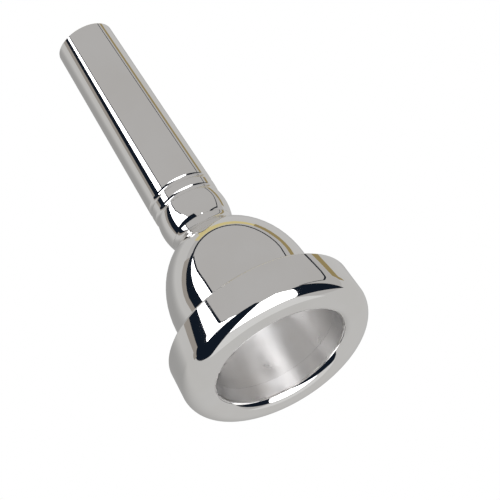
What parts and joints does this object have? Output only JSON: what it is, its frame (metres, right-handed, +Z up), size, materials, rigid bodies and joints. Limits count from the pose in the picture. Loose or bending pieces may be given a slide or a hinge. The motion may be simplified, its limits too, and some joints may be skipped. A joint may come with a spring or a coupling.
{
  "type": "trombone mouthpiece",
  "caption": "Silver-plated mouthpiece for a small-shank trombone: a screw-on rim, a bowl-shaped cup and a screw-in tapered shank with a bead and two grooves, sealed by rubber rings.",
  "frame": {"origin": "On the mouthpiece's axis, where the mouth of the instrument's tapered receiver meets the shank", "axes": "+Y runs along the axis from the rim to the end of the shank, so the cup opens towards -Y; +Z is up with the instrument held level"},
  "size_m": [0.0386, 0.0825, 0.0386],
  "materials": {
    "rim_plate": "silver plate over brass, mirror polished",
    "cup_plate": "silver plate over brass, mirror polished outside and satin inside the hollow",
    "shank_plate": "silver plate over brass, mirror polished",
    "seal_rubber": "black nitrile rubber, matt"
  },
  "bodies": {
    "shank": {"shank": "shank_plate"},
    "shank_seal": {"shank_seal": "seal_rubber"},
    "cup": {"cup": "cup_plate"},
    "rim_seal": {"rim_seal": "seal_rubber"},
    "rim": {"rim": "rim_plate"}
  },
  "joints": [
    {"name": "cup_travel", "type": "slide", "parent": "shank", "child": "shank_seal", "axis": [0, -1, 0], "range_m": [0, 0.004]},
    {"name": "cup_turn", "type": "hinge", "parent": "shank_seal", "child": "cup", "pos_m": [0, -0.02155, 0], "axis": [0, -1, 0], "range_deg": [0, 1440]},
    {"name": "rim_travel", "type": "slide", "parent": "cup", "child": "rim_seal", "axis": [0, -1, 0], "range_m": [0, 0.004]},
    {"name": "rim_turn", "type": "hinge", "parent": "rim_seal", "child": "rim", "pos_m": [0, -0.04375, 0], "axis": [0, -1, 0], "range_deg": [0, 1440]}
  ],
  "couplings": [
    {"joint": "cup_travel", "follows": "cup_turn", "m_per_rad": 0.00015915},
    {"joint": "rim_travel", "follows": "rim_turn", "m_per_rad": 0.00015915}
  ]
}
